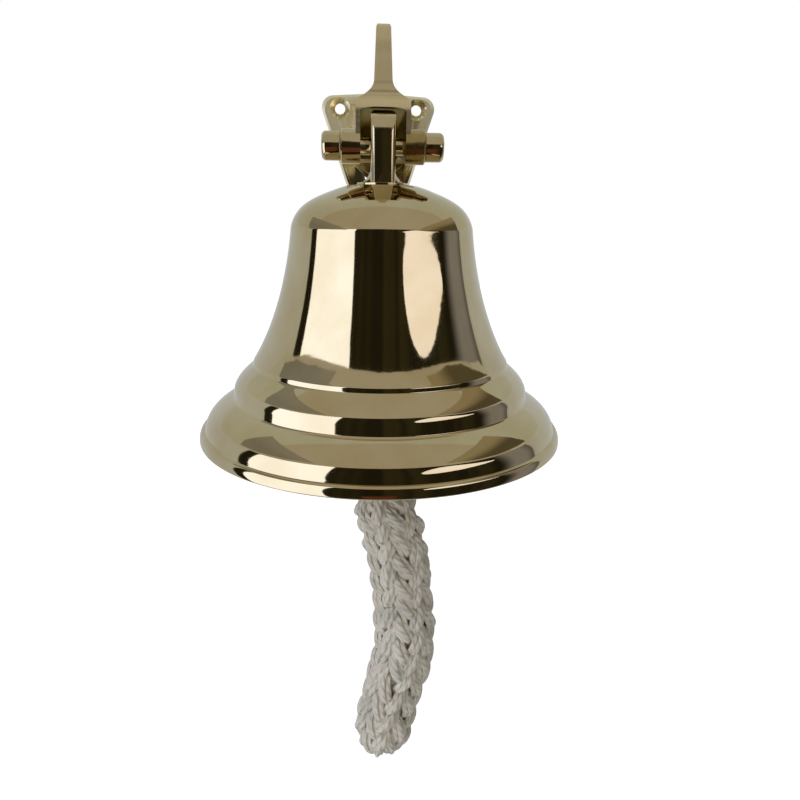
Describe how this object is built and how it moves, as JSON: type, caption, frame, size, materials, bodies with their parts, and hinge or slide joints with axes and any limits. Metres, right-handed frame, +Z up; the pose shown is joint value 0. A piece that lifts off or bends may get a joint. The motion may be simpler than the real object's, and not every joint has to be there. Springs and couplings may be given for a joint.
{
  "type": "wall-mounted bell",
  "caption": "Polished brass ship's bell that hangs from a wall bracket on a pivot bolt, with a clapper and a braided cotton lanyard.",
  "frame": {"origin": "on the back of the wall plate, midway between its two upper screw holes", "axes": "+Z up, +Y into the wall, +X to the right as seen from in front; the wall is the plane Y = 0"},
  "size_m": [0.152, 0.166, 0.331],
  "materials": {
    "bracket_brass": "polished casting",
    "turned_brass": "turned and polished",
    "bell_brass": "mirror polished",
    "inner_brass": "plain turned, not polished",
    "cotton": "braided natural cotton cord"
  },
  "bodies": {
    "bracket": {"wall_bracket": "bracket_brass", "pivot_bolt": "turned_brass", "pivot_nut": "turned_brass"},
    "bell": {"bell_shell": "bell_brass", "crown_lug": "bell_brass", "crown_washer": "inner_brass", "eye_nut": "inner_brass"},
    "clapper": {"clapper_rod": "inner_brass", "clapper_ball": "inner_brass", "tail_eye": "inner_brass"},
    "lanyard": {"rope_becket": "cotton", "rope_lanyard": "cotton"}
  },
  "joints": [
    {"name": "bell_swing", "type": "hinge", "parent": "bracket", "child": "bell", "pos_m": [0, -0.09, -0.0235], "axis": [1, 0, 0], "range_deg": [-60, 6.5]},
    {"name": "clapper_swing", "type": "hinge", "parent": "bell", "child": "clapper", "pos_m": [0, -0.09, -0.05821], "axis": [1, 0, 0], "range_deg": [-33.5, 33.5]},
    {"name": "lanyard_swing", "type": "hinge", "parent": "clapper", "child": "lanyard", "pos_m": [0, -0.09, -0.14119], "axis": [-1, 0, 0], "range_deg": [-15, 15]}
  ]
}
